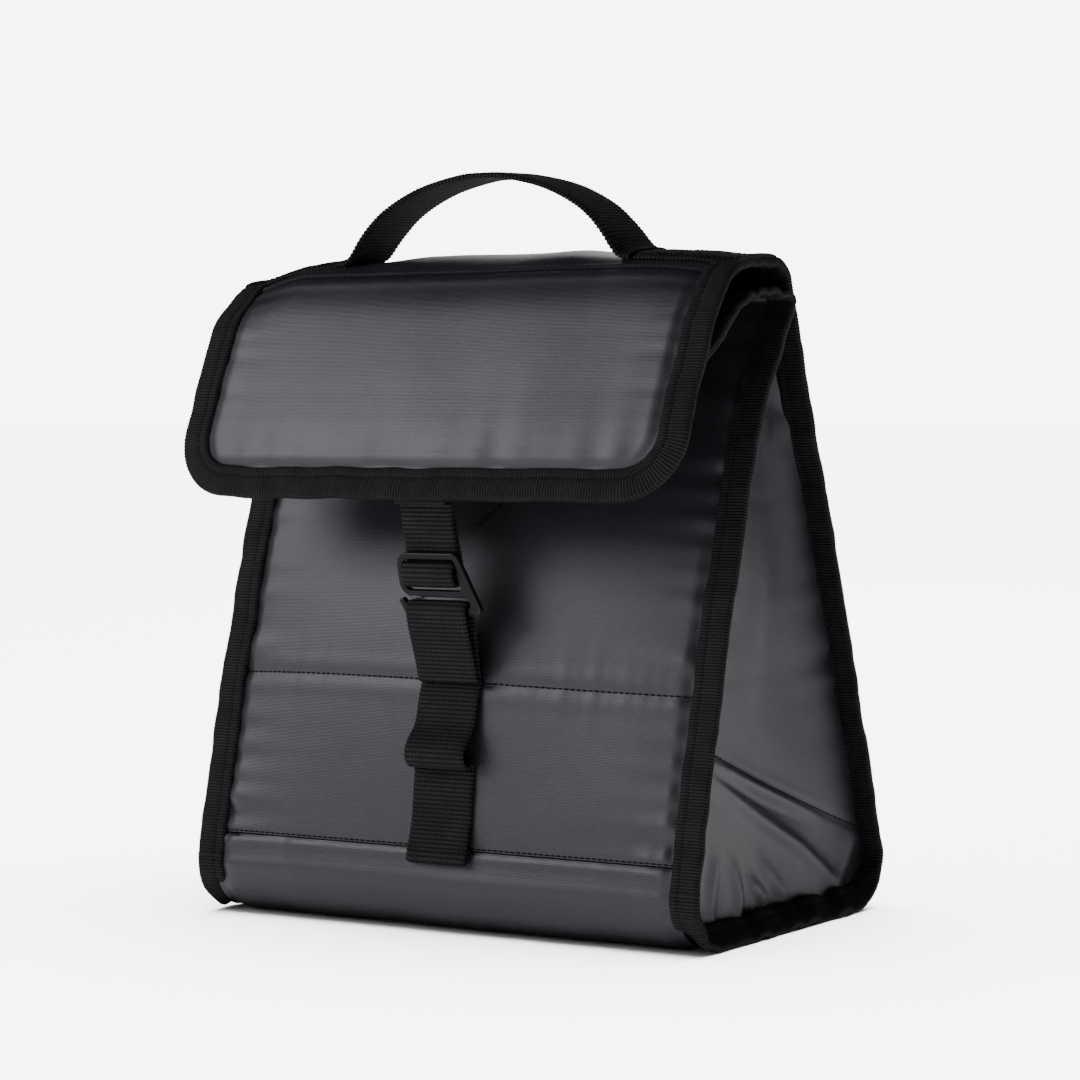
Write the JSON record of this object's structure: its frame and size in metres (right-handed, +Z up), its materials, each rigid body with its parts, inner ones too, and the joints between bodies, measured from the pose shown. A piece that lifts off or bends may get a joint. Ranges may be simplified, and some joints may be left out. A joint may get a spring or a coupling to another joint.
{
  "type": "insulated cooler bag",
  "caption": "Soft insulated lunch cooler with a roll-down top, bound flap, webbing carry handle and a hook-and-ladder strap closure.",
  "frame": {"origin": "centre of the base, on the surface the bag stands on", "axes": "+Z up, -Y to the front where the flap and strap hang, +X to the right as seen from the front"},
  "size_m": [0.2162, 0.142, 0.2675],
  "materials": {
    "coated_fabric": "coated woven polyester, satin dark grey",
    "binding_tape": "ribbed grosgrain tape, black",
    "webbing": "woven nylon webbing, black",
    "foam": "closed-cell polyethylene foam",
    "liner": "smooth wipe-clean film, light grey",
    "board": "matte sheet",
    "gunmetal": "satin gunmetal coating"
  },
  "bodies": {
    "bag_body": {"front_panel": "coated_fabric", "back_panel": "coated_fabric", "base_panel": "coated_fabric", "gusset_left": "coated_fabric", "gusset_right": "coated_fabric", "side_binding_left": "binding_tape", "side_binding_right": "binding_tape", "front_foam": "foam", "back_foam": "foam", "base_foam": "foam", "gusset_foam_left": "foam", "gusset_foam_right": "foam", "base_board": "board", "liner_front": "liner", "liner_back": "liner", "liner_floor": "liner", "liner_side_left": "liner", "liner_side_right": "liner", "ladder_foot": "webbing", "ladder_slack_loop": "webbing", "ladder_hooked_loop": "webbing"},
    "roll": {"roll_panel": "coated_fabric", "roll_foam": "foam", "roll_lining": "liner", "roll_binding_left": "binding_tape", "roll_binding_right": "binding_tape", "mouth_panel_upper": "coated_fabric", "mouth_binding_upper_left": "binding_tape", "mouth_binding_upper_right": "binding_tape", "handle_foot_left": "webbing", "handle_foot_right": "webbing"},
    "flap": {"flap_panel": "coated_fabric", "flap_foam": "foam", "flap_lining": "liner", "flap_binding": "binding_tape", "mouth_panel_lower": "coated_fabric", "mouth_binding_lower_left": "binding_tape", "mouth_binding_lower_right": "binding_tape", "strap_anchor": "webbing"},
    "handle": {"handle_arch": "webbing", "handle_leg_left": "webbing", "handle_leg_right": "webbing"},
    "strap": {"strap_run": "webbing", "strap_turn": "webbing", "strap_tail": "webbing"},
    "g_hook": {"g_hook": "gunmetal"}
  },
  "joints": [
    {"name": "roll_fold", "type": "hinge", "parent": "bag_body", "child": "roll", "pos_m": [0, 0.0049, 0.2223], "axis": [-1, 0, 0], "range_deg": [0, 100], "deforming": ["ladder_hooked_loop"]},
    {"name": "flap_fold", "type": "hinge", "parent": "roll", "child": "flap", "pos_m": [0, -0.033, 0.2338], "axis": [-1, 0, 0], "range_deg": [0, 65], "deforming": ["ladder_hooked_loop"]},
    {"name": "handle_swing", "type": "hinge", "parent": "roll", "child": "handle", "pos_m": [0, -0.018, 0.2382], "axis": [1, 0, 0], "range_deg": [-50, 50], "deforming": ["handle_leg_left", "handle_leg_right"]},
    {"name": "strap_swing", "type": "hinge", "parent": "flap", "child": "strap", "pos_m": [0.0015, -0.0709, 0.1515], "axis": [-1, 0, 0], "range_deg": [-15, 90], "deforming": ["ladder_hooked_loop"]},
    {"name": "hook_pivot", "type": "hinge", "parent": "strap", "child": "g_hook", "pos_m": [0.0015, -0.0655, 0.1268], "axis": [-1, 0, 0], "range_deg": [-30, 45], "deforming": ["ladder_hooked_loop", "strap_turn"]}
  ]
}
